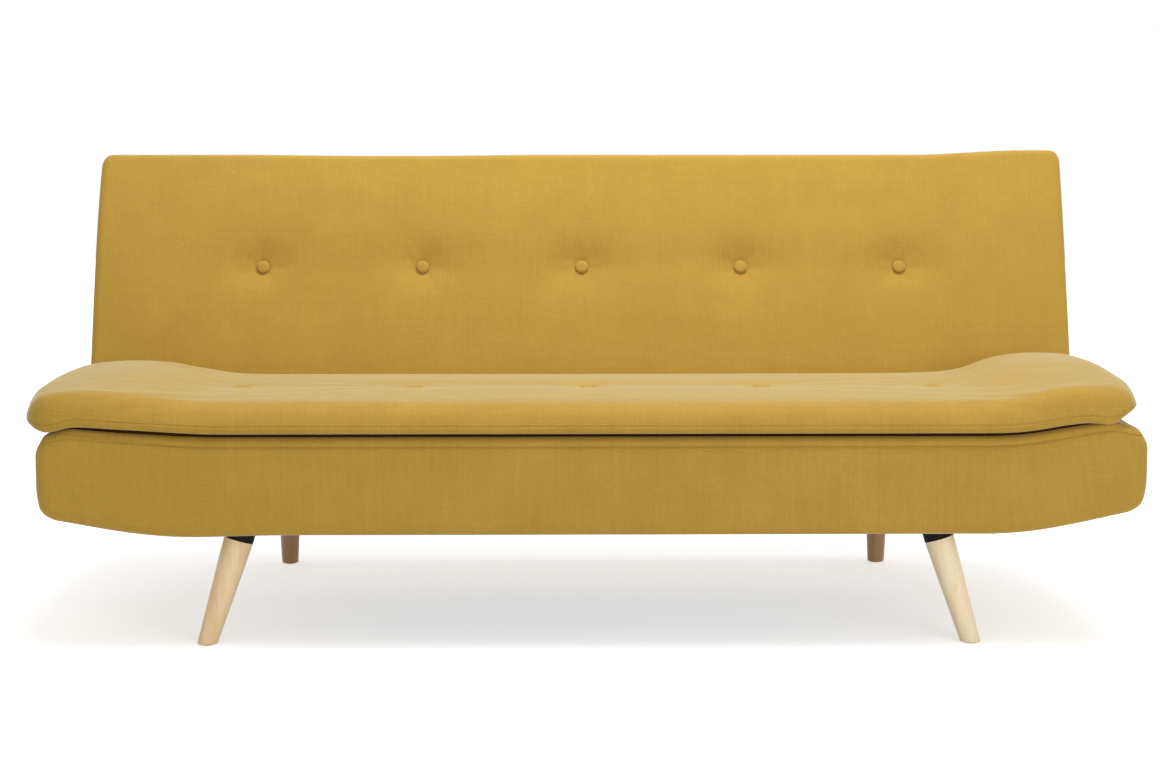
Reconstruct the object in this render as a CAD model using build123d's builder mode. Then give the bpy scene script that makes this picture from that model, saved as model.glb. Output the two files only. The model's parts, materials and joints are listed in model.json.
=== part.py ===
"""Armless click-clack sofa bed on wooden legs, with a reclining back and seat ends that raise.

Millimetres. +Z is up, the front faces -Y, and the origin is on the floor below the middle.
"""

import os
from math import cos, radians, sin, sqrt, tan

from build123d import *

# ---- overall ----
width = 1800  # the back, end to end
depth = 790  # front of the seat pad to the rear ends of the support rails
seat_height = 404  # top of the seat pad

# ---- upholstery ----
cover_t = 8  # woven cover with its bonded wadding
hem_t = 2  # cover alone, where it is turned under the frame
hem_w = 12
dust_t = 1
base_width = 1780
base_height = 168
pad_width = 1796
pad_t = 46
pad_overhang = 5  # in front of the base
pad_rear_gap = 4  # the pad runs this far past the base's rear face
pad_nose_r = 18

# ---- seat frame ----
board_t = 22
frame_height = 80  # above the base's underside, cover included
cross_x = 190  # the two cross members
spring_count = 8
spring_pitch = 116
spring_wire = 3.5
spring_half_width = 24
spring_step = 30
clip_size = (26, 12, 6)
deck_t = 5

# ---- support rails and legs ----
rail_inset = 86  # from the fold in to each rail's middle line
rail_w = 64
rail_h = 35
cross_rail_w = 50
front_leg_shift = -3  # where the leg's axis meets the rail, outwards from its middle line
front_leg_setback = 90
rear_leg_shift = 3
rear_leg_setback = 759
splay_out = 16.9  # degrees
splay_forward = 6.6
leg_top_r = 24.5
leg_foot_r = 15.8
collar_min_t = 15
bolt_r = 4
bolt_in_leg = 40
insert_r = 6.5
insert_length = 18
glide_r = 11
glide_t = 2

# ---- back ----
back_lean = 17.5  # degrees from upright
back_t = 125
back_seen = 415  # face length above the seat
back_tail = 25  # below the pivot
back_foam_t = 50  # front of the cover to the back of the foam
webbing_t = 1.5
webbing_w = 50
panel_t = 3
seat_to_back = 520  # front of the base to the back's face, at seat height
back_gap = 3.048  # from the base's rear to the back's lower edge

# ---- back hinges ----
pivot_inset = 70  # behind the back's face and below the seat's top
plate_t = 5
plate_gap = 3
hinge_plate_shift = 6  # inner side of the bracket's plate, from the rail's middle line
slot_side = 6  # room beside the bracket, inside the back
hinge_head_r = 18
pivot_r = 6
pivot_head_r = 10
pivot_head_t = 4
arm_length = 170
foot_length = 70
foot_width = 35
foot_t = 4
bracket_screw_y = 20  # each side of the pivot
arm_screw_shares = (0.4, 0.7, 1.0)  # of the arm's length
screw_r = 3
screw_length = 20
screw_head_r = 6
screw_head_t = 4

# ---- raising seat ends ----
fold_x = 660
fold_drop = 30  # below the frame's top
end_tilt = 9  # as stored: the first click above flat
end_travel = 36  # further up from there
fold_gap = 4
leaf_t = 4
leaf_reach = 75
leaf_half_h = 14
leaf_head_r = 16
leaf_pin_r = 5
leaf_gap = 0.4
ratchet_notch_r = 1.5
end_wadding = 40  # on the outer side of each end

# ---- buttons ----
button_count = 5
button_inset = 68  # from the fold in to the outer buttons
button_r = 12.5
button_t = 8
button_sunk = 6
back_button_height = 196.5  # along the face, above the seat
seat_button_setback = 250
dent_r = 42
dent_floor_r = 14
tie_r = 1
toggle_r = 8
toggle_t = 2

# ---- clearances ----
running = 0.05  # pins in the parts that turn on them
fixed = 0.02  # pins in the parts that hold them
drill = 0.2  # bolts and ties in their holes
soft = 0.3

# ---- worked out from the above ----
front = -depth / 2 + pad_overhang  # front plane of the base
base_top = seat_height - pad_t
base_bottom = base_top - base_height
frame_top = base_bottom + frame_height
fold_z = frame_top - fold_drop
frame_bottom = base_bottom + hem_t
rail_top = frame_bottom + rail_h
board_front = (front + cover_t, front + cover_t + board_t)
half_fold = fold_x - fold_gap
rail_x = fold_x - rail_inset
front_leg_x = rail_x + front_leg_shift
rear_leg_x = rail_x + rear_leg_shift
hinge_plate_x = rail_x + hinge_plate_shift
foam_bottom = frame_top + spring_wire + 2 * soft
lean = radians(back_lean)
tilt = radians(end_tilt)
pivot_share = tan(radians(90 - back_lean) / 2)
pivot_y = front + seat_to_back + pivot_inset * pivot_share
pivot_z = seat_height - pivot_inset
rear = pivot_y - pivot_inset * cos(lean) - back_tail * sin(lean) - back_gap
board_rear = (rear - cover_t - board_t, rear - cover_t)
seat_line = pivot_inset * pivot_share  # along the face, from the pivot up to seat height
back_top = seat_line + back_seen
button_line = seat_line + back_button_height
arm_x = hinge_plate_x + plate_t + plate_gap
stile_x = arm_x + plate_t
slot = (hinge_plate_x - slot_side, stile_x)
frame_t = (back_foam_t + webbing_t, back_t - cover_t - panel_t)  # behind the face
button_pitch = 2 * (fold_x - button_inset) / (button_count - 1)
button_xs = [button_pitch * (i - (button_count - 1) / 2) for i in range(button_count)]
ends = {"left": -1, "right": 1}

world = Plane.XY
behind = Vector(0, cos(lean), -sin(lean))  # from the back's face to its rear
pivot = Vector(0, pivot_y, pivot_z)
back_face = Plane(origin=pivot - behind * pivot_inset, x_dir=(1, 0, 0), z_dir=-behind)
back_side = Plane(origin=pivot, x_dir=behind, z_dir=(1, 0, 0))
end_plane = Plane(
    origin=(fold_x, 0, fold_z), x_dir=(cos(tilt), 0, sin(tilt)), z_dir=(0, -1, 0)
)

os.makedirs("parts", exist_ok=True)


def save(builder, name):
    builder.part.label = name
    export_step(builder.part, f"parts/{name}.step")


def block(plane, x, y, z, mode=Mode.ADD):
    """A box between pairs of limits, measured in a plane's own frame."""
    limits = (x, y, z)
    with Locations(plane):
        with Locations(tuple((low + high) / 2 for low, high in limits)):
            Box(*(high - low for low, high in limits), mode=mode)


def slab(plane, outline, y_front, y_rear, mode=Mode.ADD):
    """A closed outline on an upright, forward-facing plane, thickened between two depths."""
    with BuildSketch(plane.offset(-y_rear), mode=Mode.PRIVATE) as face:
        Polygon(*outline, align=None)
    extrude(face.sketch, amount=y_rear - y_front, mode=mode)


def mirrored(builder, name):
    """Save the right-hand piece, then its mirror image for the left."""
    save(builder, f"right_{name}")
    with BuildPart() as other:
        mirror(builder.part, about=Plane.YZ)
    save(other, f"left_{name}")


def outward(v, x):
    """Along the tilted end, how far the upright plane at x lies at height v above the fold."""
    return (x - fold_x + v * sin(tilt)) / cos(tilt)


def fold_line(v):
    """Inner face of the soft end: it closes on the middle section at full travel."""
    return v * tan(radians(end_travel + end_tilt)) + fold_gap


# ---------------------------------------------------------------- support rails and legs
def leg_plane(sign, is_front):
    """Axis of a leg, from the underside of its rail down to the floor."""
    if is_front:
        top = (sign * front_leg_x, front + front_leg_setback, frame_bottom)
        down = Vector(sign * tan(radians(splay_out)), -tan(radians(splay_forward)), -1)
    else:
        top = (sign * rear_leg_x, front + rear_leg_setback, frame_bottom)
        down = Vector(0, 0, -1)
    return Plane(origin=top, z_dir=down.normalized())


def bracket_screw_points(sign):
    """Where the screws of a hinge bracket enter its rail."""
    x = sign * (hinge_plate_x - foot_width / 2)
    return [(x, pivot_y + offset, rail_top) for offset in (-bracket_screw_y, bracket_screw_y)]


for side, sign in ends.items():
    with BuildPart() as support_rail:
        x_span = (sign * rail_x - rail_w / 2, sign * rail_x + rail_w / 2)
        block(world, x_span, (board_front[1], depth / 2), (frame_bottom, rail_top))
        for is_front in (True, False):
            with Locations(leg_plane(sign, is_front)):
                Cylinder(insert_r + drill, 4 * rail_h, mode=Mode.SUBTRACT)
        with Locations(*bracket_screw_points(sign)):
            Cylinder(screw_r + drill, 2 * (screw_length + 1), mode=Mode.SUBTRACT)
    save(support_rail, f"support_rail_{side}")

with BuildPart() as rear_cross_rail:
    inner = rail_x - rail_w / 2
    block(
        world, (-inner, inner), (depth / 2 - cross_rail_w, depth / 2), (frame_bottom, rail_top)
    )
save(rear_cross_rail, "rear_cross_rail")


def collar_length(plane):
    """Along the leg's axis: the collar is a wedge, thinnest on the side the leg leans to."""
    slope = sqrt(1 - plane.z_dir.Z**2) / -plane.z_dir.Z
    return collar_min_t + leg_top_r * slope


def make_leg(sign, is_front, name):
    plane = leg_plane(sign, is_front)
    start = collar_length(plane)
    foot = frame_bottom / -plane.z_dir.Z
    with BuildPart() as leg:
        with Locations(plane.offset(start)):
            Cone(
                leg_top_r, leg_foot_r, foot - start,
                align=(Align.CENTER, Align.CENTER, Align.MIN),
            )
        with Locations(plane.offset(foot - 1)):  # the foot is cut level, past the cone's end
            Cylinder(leg_foot_r, 2 * leg_foot_r, align=(Align.CENTER, Align.CENTER, Align.MIN))
        with Locations((0, 0, glide_t)):
            Box(2 * width, 2 * depth, width, align=(Align.CENTER, Align.CENTER, Align.MAX),
                mode=Mode.SUBTRACT)
        with Locations(plane.offset(start)):
            Cylinder(bolt_r + drill, 2 * (bolt_in_leg + 1), mode=Mode.SUBTRACT)
    save(leg, name)


for side, sign in ends.items():
    make_leg(sign, True, f"front_leg_{side}")
    make_leg(sign, False, f"rear_leg_{side}")

leg_planes = [leg_plane(sign, is_front) for sign in ends.values() for is_front in (True, False)]


def make_collar(plane):
    """Moulded wedge between a leg and the rail."""
    start = collar_length(plane)
    with BuildPart(mode=Mode.PRIVATE) as collar:
        with Locations(plane.offset(start)):
            Cylinder(leg_top_r, 3 * leg_top_r, align=(Align.CENTER, Align.CENTER, Align.MAX))
        with Locations((0, 0, frame_bottom)):
            Box(2 * width, 2 * depth, width, align=(Align.CENTER, Align.CENTER, Align.MIN),
                mode=Mode.SUBTRACT)
        with Locations(plane):
            Cylinder(bolt_r + drill, 4 * start, mode=Mode.SUBTRACT)
    return collar.part


with BuildPart() as leg_collars:
    for plane in leg_planes:
        add(make_collar(plane))
save(leg_collars, "leg_collars")

with BuildPart() as leg_bolts:
    for plane in leg_planes:
        with Locations(plane.offset(collar_length(plane) + bolt_in_leg)):
            Cylinder(bolt_r, bolt_in_leg + collar_length(plane) + insert_length,
                     align=(Align.CENTER, Align.CENTER, Align.MAX))
save(leg_bolts, "leg_bolts")

with BuildPart() as leg_inserts:
    for plane in leg_planes:
        with Locations(plane.offset(-3)):  # sunk into the rail
            Cylinder(insert_r, insert_length, align=(Align.CENTER, Align.CENTER, Align.MAX))
            Cylinder(bolt_r + drill, 3 * insert_length, mode=Mode.SUBTRACT)
save(leg_inserts, "leg_inserts")

with BuildPart() as foot_glides:
    for plane in leg_planes:
        foot = plane.origin + plane.z_dir * (frame_bottom / -plane.z_dir.Z)
        with Locations((foot.X, foot.Y, 0)):
            Cylinder(glide_r, glide_t, align=(Align.CENTER, Align.CENTER, Align.MIN))
save(foot_glides, "foot_glides")

# ---------------------------------------------------------------- seat: middle section
board_end = fold_x - 10  # clear of the end's boards when it is raised

with BuildPart() as seat_front_rail:
    block(world, (-board_end, board_end), board_front, (frame_bottom, frame_top))
save(seat_front_rail, "seat_front_rail")

with BuildPart() as seat_rear_rail:
    block(world, (-board_end, board_end), board_rear, (rail_top, frame_top))
save(seat_rear_rail, "seat_rear_rail")

with BuildPart() as seat_side_members:
    for sign in ends.values():
        span = (sign * rail_x - board_t / 2, sign * rail_x + board_t / 2)
        block(world, span, (board_front[1], board_rear[0]), (rail_top, frame_top))
save(seat_side_members, "seat_side_members")

with BuildPart() as seat_cross_members:
    for sign in ends.values():
        span = (sign * cross_x - board_t / 2, sign * cross_x + board_t / 2)
        block(world, span, (board_front[1], board_rear[0]), (rail_top, frame_top))
save(seat_cross_members, "seat_cross_members")

spring_z = frame_top + soft + spring_wire / 2
spring_ys = (sum(board_front) / 2, sum(board_rear) / 2)
turns = int((spring_ys[1] - spring_ys[0] - 2 * board_t) // spring_step)
turn_start = -turns * spring_step / 2 + sum(spring_ys) / 2
zigzag = [(0, spring_ys[0]), (0, turn_start)]
for i in range(turns):
    reach = spring_half_width * (1 if i % 2 else -1)
    zigzag += [(reach, turn_start + i * spring_step), (reach, turn_start + (i + 1) * spring_step)]
zigzag += [(0, turn_start + turns * spring_step), (0, spring_ys[1])]
bend_r = 0.42 * spring_step

with BuildPart() as zigzag_spring:
    with BuildLine(Plane.XY.offset(spring_z)) as spring_path:
        FilletPolyline(*zigzag, radius=bend_r)
    with BuildSketch(Plane(origin=(0, spring_ys[0], spring_z), z_dir=(0, 1, 0))):
        Circle(spring_wire / 2)
    sweep()

spring_xs = [spring_pitch * (i - (spring_count - 1) / 2) for i in range(spring_count)]
with BuildPart() as seat_springs:
    with Locations(*[(x, 0, 0) for x in spring_xs]):
        add(zigzag_spring.part)
save(seat_springs, "seat_springs")

with BuildPart() as spring_clips:
    with Locations(*[(x, y, frame_top) for x in spring_xs for y in spring_ys]):
        Box(*clip_size, align=(Align.CENTER, Align.CENTER, Align.MIN))
        block(
            world, (-spring_wire / 2 - soft, spring_wire / 2 + soft), (-board_t, board_t),
            (0, spring_wire + 2 * soft), mode=Mode.SUBTRACT,
        )
save(spring_clips, "spring_clips")

with BuildPart() as base_foam:
    block(
        world, (-half_fold, half_fold), (board_front[0], board_rear[1]),
        (foam_bottom, base_top - cover_t),
    )
    with Locations(*[(x, y, foam_bottom) for x in spring_xs for y in spring_ys]):
        Box(clip_size[0] + 1, clip_size[1] + 1, clip_size[2],
            align=(Align.CENTER, Align.CENTER, Align.CENTER), mode=Mode.SUBTRACT)
save(base_foam, "base_foam")

with BuildPart() as base_cover:
    across = (-half_fold, half_fold)
    block(world, across, (front, rear), (base_bottom, base_top))
    block(world, across, (front + cover_t, rear - cover_t), (frame_bottom, base_top - cover_t),
          mode=Mode.SUBTRACT)
    block(world, across, (front + hem_w, rear - hem_w), (base_bottom, frame_bottom),
          mode=Mode.SUBTRACT)
    for sign in ends.values():  # cut round the support rails
        span = (sign * rail_x - rail_w / 2 - soft, sign * rail_x + rail_w / 2 + soft)
        block(world, span, (rear - 2 * hem_w, rear + 1), (base_bottom - 1, rail_top + soft),
              mode=Mode.SUBTRACT)
save(base_cover, "base_cover")

with BuildPart() as dust_cover:
    beside_rail = rail_x - rail_w / 2 - soft, rail_x + rail_w / 2 + soft
    hem_edge = (front + hem_w + soft, rear - hem_w - soft)
    z_span = (frame_bottom - dust_t, frame_bottom)
    for span in (
        (-beside_rail[0], beside_rail[0]),
        (beside_rail[1], half_fold),
        (-half_fold, -beside_rail[1]),
    ):
        block(world, span, hem_edge, z_span)
save(dust_cover, "dust_cover")

# ---------------------------------------------------------------- seat pad, middle section
pad_span = (front - pad_overhang, rear + pad_rear_gap)


def pad_profile():
    """Section of the pad from front to rear, with its rounded front."""
    with BuildSketch(Plane.YZ, mode=Mode.PRIVATE) as profile:
        with Locations(((pad_span[0] + pad_span[1]) / 2, base_top)):
            Rectangle(pad_span[1] - pad_span[0], pad_t, align=(Align.CENTER, Align.MIN))
        fillet(profile.vertices().group_by(Axis.X)[0], pad_nose_r)
    return profile.sketch


def dent(plane, backing, mode=Mode.SUBTRACT):
    """Pocket that a tufted button pulls into a cushion's face, with backing around it."""
    with Locations(plane):
        Cone(dent_floor_r + backing, dent_r + backing, dent_depth + backing,
             align=(Align.CENTER, Align.CENTER, Align.MAX), mode=mode)


def toggle_pocket(plane, far):
    """Pocket for a tie's toggle in the far side of a cushion."""
    with Locations(plane.offset(-far)):
        Cylinder(toggle_r + soft, toggle_t + 2 * soft,
                 align=(Align.CENTER, Align.CENTER, Align.MIN), mode=Mode.SUBTRACT)


seat_button_planes = [
    Plane(origin=(x, front + seat_button_setback, seat_height)) for x in button_xs
]
dent_depth = button_sunk + button_t

with BuildPart() as seat_pad:
    extrude(pad_profile(), amount=half_fold, both=True)
    for plane in seat_button_planes:
        dent(plane, 0)
        with Locations(plane):
            Cylinder(tie_r + drill, 3 * pad_t, mode=Mode.SUBTRACT)
        toggle_pocket(plane, pad_t)
save(seat_pad, "seat_pad")


def button(plane):
    """Covered button, its foot on the floor of its dent."""
    with Locations(plane.offset(-dent_depth)):
        Cylinder(button_r, button_t / 2, align=(Align.CENTER, Align.CENTER, Align.MIN))
    with Locations(plane.offset(-dent_depth + button_t / 2)):
        Cone(button_r, button_r * 0.6, button_t / 2, align=(Align.CENTER, Align.CENTER, Align.MIN))


def tie(plane, far):
    """Twine from a button to the toggle that holds it, far below the face."""
    with Locations(plane.offset(-dent_depth)):
        Cylinder(tie_r, far - toggle_t - dent_depth,
                 align=(Align.CENTER, Align.CENTER, Align.MAX))
    with Locations(plane.offset(-far)):
        Cylinder(toggle_r, toggle_t, align=(Align.CENTER, Align.CENTER, Align.MIN))


with BuildPart() as seat_buttons:
    for plane in seat_button_planes:
        button(plane)
save(seat_buttons, "seat_buttons")

with BuildPart() as seat_button_ties:
    for plane in seat_button_planes:
        tie(plane, pad_t - soft)
save(seat_button_ties, "seat_button_ties")

# ---------------------------------------------------------------- soft fold between sections
def tilted(u, v):
    """World x and z of a point on the right-hand end's own plane."""
    return (
        fold_x + u * cos(tilt) - v * sin(tilt),
        fold_z + u * sin(tilt) + v * cos(tilt),
    )


fold_top = seat_height - fold_z
fold_low = frame_top - fold_z + deck_t
with BuildPart() as fold_foam:
    inner_x = half_fold + soft
    top = tilted(fold_line(fold_top) - 2 * soft, fold_top)
    low = tilted(fold_line(fold_low) - 2 * soft, fold_low)
    slab(Plane.XZ, [(inner_x, low[1]), low, top, (inner_x, seat_height)], front, rear)
mirrored(fold_foam, "fold_foam")

# ---------------------------------------------------------------- seat ends
top_v = base_top - fold_z
low_v = base_bottom - fold_z
board_v = (base_bottom + cover_t - fold_z, frame_top - fold_z)
half_base = base_width / 2
half_pad = pad_width / 2
inner_end = half_base - end_wadding
outer_board = (outward(board_v[0], inner_end) - board_t, outward(board_v[0], inner_end) - soft)
side_board = (leaf_head_r + 10, outer_board[0])
inner_board = (leaf_reach + 10, leaf_reach + 10 + board_t)


def end_block(u, y, v, mode=Mode.ADD):
    """A box on the tilted end: outward span, depth span, height span."""
    block(end_plane, u, v, (-y[1], -y[0]), mode=mode)


with BuildPart() as end_side_boards:
    end_block(side_board, board_front, board_v)
    end_block(side_board, board_rear, board_v)
mirrored(end_side_boards, "end_side_boards")

with BuildPart() as end_crosspieces:
    end_block(outer_board, (board_front[0], board_rear[1]), board_v)
    end_block(inner_board, (board_front[1], board_rear[0]), board_v)
mirrored(end_crosspieces, "end_crosspieces")

deck_v = (board_v[1], board_v[1] + deck_t)
with BuildPart() as end_deck:
    end_block(
        (fold_line(deck_v[1]) + soft, outward(deck_v[0], inner_end) - soft),
        (board_front[0], board_rear[1]), deck_v,
    )
mirrored(end_deck, "end_deck")

foam_v = (deck_v[1], top_v - cover_t)
with BuildPart() as end_foam:
    slab(
        end_plane,
        [(fold_line(foam_v[0]), foam_v[0]), (outward(foam_v[0], inner_end), foam_v[0]),
         (outward(foam_v[1], inner_end), foam_v[1]), (fold_line(foam_v[1]), foam_v[1])],
        board_front[0], board_rear[1],
    )
mirrored(end_foam, "end_foam")

with BuildPart() as end_cover:
    slab(
        end_plane,
        [(fold_gap, low_v), (outward(low_v, half_base), low_v), (outward(top_v, half_base), top_v),
         (fold_line(top_v), top_v), (fold_gap, 0)],
        front, rear,
    )
    inside_v = (board_v[0], top_v - cover_t)
    slab(
        end_plane,
        [(0, inside_v[0]), (outward(inside_v[0], inner_end), inside_v[0]),
         (outward(inside_v[1], inner_end), inside_v[1]),
         (fold_line(inside_v[1]) - fold_gap, inside_v[1]), (0, 0)],
        front + cover_t, rear - cover_t, mode=Mode.SUBTRACT,
    )
mirrored(end_cover, "end_cover")

with BuildPart() as end_pad:
    pad_v = (top_v, top_v + pad_t)
    slab(
        end_plane,
        [(fold_line(pad_v[0]), pad_v[0]), (outward(pad_v[0], half_pad), pad_v[0]),
         (outward(pad_v[1], half_pad), pad_v[1]), (fold_line(pad_v[1]), pad_v[1])],
        *pad_span,
    )
    nose = end_pad.faces().sort_by(Axis.Y)[0].edges().sort_by(SortBy.LENGTH)
    along = [edge for edge in nose if abs(edge.tangent_at(0.5).X) > 0.9]
    fillet(along, pad_nose_r)
mirrored(end_pad, "end_pad")

# ---------------------------------------------------------------- ratchet hinges of the ends
mid_y = (front + rear) / 2
fixed_leaf_y = (board_front[1], board_front[1] + leaf_t)
moving_leaf_y = (fixed_leaf_y[1] + leaf_gap, fixed_leaf_y[1] + leaf_gap + leaf_t)
front_and_rear = Plane.XZ.offset(-mid_y)


def both_depths():
    """Repeat the front hinge piece at the rear of the seat."""
    mirror(about=front_and_rear)


def leaf_head(plane, y, hole_r):
    """Round end of a leaf, about the fold's pin."""
    with BuildSketch(plane.offset(-y[1]), mode=Mode.PRIVATE) as head:
        Circle(leaf_head_r)
        Circle(hole_r, mode=Mode.SUBTRACT)
    extrude(head.sketch, amount=y[1] - y[0])


def bore(plane, y, hole_r):
    with BuildSketch(plane.offset(-y[1] - 1), mode=Mode.PRIVATE) as hole:
        Circle(hole_r)
    extrude(hole.sketch, amount=y[1] - y[0] + 2, mode=Mode.SUBTRACT)


fold_plane = Plane(origin=(fold_x, 0, fold_z), x_dir=(1, 0, 0), z_dir=(0, -1, 0))
with BuildPart() as fixed_leaf:
    leaf_head(fold_plane, fixed_leaf_y, leaf_pin_r + running)
    block(fold_plane, (-leaf_reach + leaf_half_h, 0), (-leaf_half_h + 2, leaf_half_h),
          (-fixed_leaf_y[1], -fixed_leaf_y[0]))
    with Locations(fold_plane.offset(-fixed_leaf_y[1])):
        with PolarLocations(leaf_head_r, 6, start_angle=100, angular_range=50,
                            endpoint=True):
            Cylinder(ratchet_notch_r, 4 * leaf_t, mode=Mode.SUBTRACT)
    bore(fold_plane, fixed_leaf_y, leaf_pin_r + running)
    both_depths()
with BuildPart() as end_hinge_fixed_leaves:
    add(fixed_leaf.part)
    mirror(fixed_leaf.part, about=Plane.YZ)
save(end_hinge_fixed_leaves, "end_hinge_fixed_leaves")

with BuildPart() as moving_leaf:
    leaf_head(end_plane, moving_leaf_y, leaf_pin_r + fixed)
    end_block((0, leaf_reach), moving_leaf_y, (-leaf_half_h, leaf_half_h))
    end_block((leaf_head_r + 8, leaf_reach), (board_front[1], moving_leaf_y[1]),
              (-leaf_half_h, leaf_half_h))
    bore(end_plane, moving_leaf_y, leaf_pin_r + fixed)
    both_depths()
mirrored(moving_leaf, "end_hinge_leaves")

with BuildPart() as end_pins:
    pin_span = (board_front[1], moving_leaf_y[1])
    with BuildSketch(end_plane.offset(-pin_span[1]), mode=Mode.PRIVATE) as shank:
        Circle(leaf_pin_r)
    extrude(shank.sketch, amount=pin_span[1] - pin_span[0])
    with BuildSketch(end_plane.offset(-pin_span[1] - screw_head_t), mode=Mode.PRIVATE) as head:
        Circle(leaf_pin_r + 3)
    extrude(head.sketch, amount=screw_head_t)
    both_depths()
mirrored(end_pins, "end_hinge_pins")

# ---------------------------------------------------------------- back frame


def back_block(x, s, t, mode=Mode.ADD):
    """A box in the back: across, up the face from the pivot, and behind the face."""
    block(back_face, x, s, (-t[1], -t[0]), mode=mode)


arm_screw_planes = [
    Plane(
        origin=pivot + Vector(sign * arm_x, sin(lean) * arm_length * share,
                              cos(lean) * arm_length * share),
        z_dir=(-sign, 0, 0),
    )
    for sign in ends.values()
    for share in arm_screw_shares
]
inside_x = width / 2 - cover_t
inside_s = (-back_tail + cover_t, back_top - cover_t)
rail_s = (inside_s[0] + board_t, inside_s[1] - board_t)

with BuildPart() as back_top_rail:
    back_block((-inside_x, inside_x), (rail_s[1], inside_s[1]), frame_t)
save(back_top_rail, "back_top_rail")

with BuildPart() as back_bottom_rails:
    lower = (inside_s[0], rail_s[0])
    back_block((-slot[0] + board_t, slot[0] - board_t), lower, frame_t)
    for sign in ends.values():
        span = sorted((sign * (slot[1] + board_t), sign * inside_x))
        back_block(span, lower, frame_t)
save(back_bottom_rails, "back_bottom_rails")

with BuildPart() as back_end_stiles:
    for sign in ends.values():
        back_block(sorted((sign * (inside_x - board_t), sign * inside_x)), rail_s, frame_t)
save(back_end_stiles, "back_end_stiles")

with BuildPart() as back_hinge_stiles:
    for sign in ends.values():
        for low, high in ((slot[0] - board_t, slot[0]), (slot[1], slot[1] + board_t)):
            back_block(sorted((sign * low, sign * high)), (inside_s[0], rail_s[1]), frame_t)
    for plane in arm_screw_planes:
        with Locations(plane):
            Cylinder(screw_r + drill, 2 * (plate_t + screw_length + 1), mode=Mode.SUBTRACT)
save(back_hinge_stiles, "back_hinge_stiles")

with BuildPart() as back_centre_stile:
    back_block((-board_t / 2, board_t / 2), rail_s, frame_t)
save(back_centre_stile, "back_centre_stile")

webbing_xs = sorted(button_xs + [x + button_pitch / 2 for x in button_xs[:-1]])
with BuildPart() as back_webbing:
    for x in webbing_xs:
        back_block((x - webbing_w / 2, x + webbing_w / 2), inside_s, (back_foam_t, frame_t[0]))
save(back_webbing, "back_webbing")

back_button_planes = [
    Plane(origin=back_face.from_local_coords(Vector(x, button_line, 0)),
          x_dir=(1, 0, 0), z_dir=back_face.z_dir)
    for x in button_xs
]

with BuildPart() as back_foam:
    back_block((-inside_x, inside_x), inside_s, (cover_t, back_foam_t))
    for plane in back_button_planes:
        dent(plane, cover_t)
        with Locations(plane):
            Cylinder(tie_r + drill, 3 * back_foam_t, mode=Mode.SUBTRACT)
        toggle_pocket(plane, back_foam_t)
save(back_foam, "back_foam")


def hinge_slots():
    """Room in the back's lower rear corner for the brackets, over the whole swing."""
    for sign in ends.values():
        span = sorted((sign * slot[0], sign * slot[1]))
        back_block(span, (-back_tail - 1, foot_length / 2), (frame_t[0], back_t + 1),
                   mode=Mode.SUBTRACT)


with BuildPart() as back_rear_panel:
    back_block((-inside_x, inside_x), inside_s, (frame_t[1], frame_t[1] + panel_t))
    hinge_slots()
save(back_rear_panel, "back_rear_panel")

with BuildPart() as back_cover:
    back_block((-width / 2, width / 2), (-back_tail, back_top), (0, back_t))
    back_block((-inside_x, inside_x), inside_s, (cover_t, back_t - cover_t), mode=Mode.SUBTRACT)
    for plane in back_button_planes:  # the cover follows each dent down into the foam
        dent(plane, cover_t, mode=Mode.ADD)
        dent(plane, 0)
        with Locations(plane):
            Cylinder(tie_r + drill, 3 * back_foam_t, mode=Mode.SUBTRACT)
    hinge_slots()
save(back_cover, "back_cover")

with BuildPart() as back_buttons:
    for plane in back_button_planes:
        button(plane)
save(back_buttons, "back_buttons")

with BuildPart() as back_button_ties:
    for plane in back_button_planes:
        tie(plane, back_foam_t - soft)
save(back_button_ties, "back_button_ties")

# ---------------------------------------------------------------- click-clack hinges
foot_y = (pivot_y - foot_length / 2, pivot_y + foot_length / 2)
for side, sign in ends.items():
    with BuildPart() as hinge_bracket:
        plate_x = sorted((sign * hinge_plate_x, sign * (hinge_plate_x + plate_t)))
        with BuildSketch(Plane.YZ.offset(plate_x[0])) as plate:
            with BuildLine():
                CenterArc((pivot_y, pivot_z), hinge_head_r, 0, 180)
                Polyline(
                    (pivot_y - hinge_head_r, pivot_z), (foot_y[0], rail_top),
                    (foot_y[1], rail_top), (pivot_y + hinge_head_r, pivot_z),
                )
            make_face()
            with Locations((pivot_y, pivot_z)):
                Circle(pivot_r + running, mode=Mode.SUBTRACT)
        extrude(amount=plate_t)
        foot_x = sorted((sign * (hinge_plate_x + plate_t), sign * (hinge_plate_x - foot_width)))
        block(world, foot_x, foot_y, (rail_top, rail_top + foot_t))
        with Locations(*bracket_screw_points(sign)):
            Cylinder(screw_r + drill, 4 * foot_t, mode=Mode.SUBTRACT)
    save(hinge_bracket, f"hinge_bracket_{side}")

    with BuildPart() as hinge_arm:
        arm_xs = sorted((sign * arm_x, sign * (arm_x + plate_t)))
        with BuildSketch(back_side.offset(arm_xs[0])) as arm:
            with Locations((0, arm_length / 2)):
                SlotOverall(arm_length + 2 * hinge_head_r, 2 * hinge_head_r, rotation=90)
            Circle(pivot_r + fixed, mode=Mode.SUBTRACT)
        extrude(amount=plate_t)
        with BuildSketch(back_side.offset(sign * (arm_x - plate_gap + fixed))):
            Circle(pivot_head_r)
            Circle(pivot_r + fixed, mode=Mode.SUBTRACT)
        extrude(amount=sign * (plate_gap - fixed))
        for plane in arm_screw_planes:
            with Locations(plane):
                Cylinder(screw_r + drill, 4 * plate_t, mode=Mode.SUBTRACT)
    save(hinge_arm, f"hinge_arm_{side}")


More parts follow.
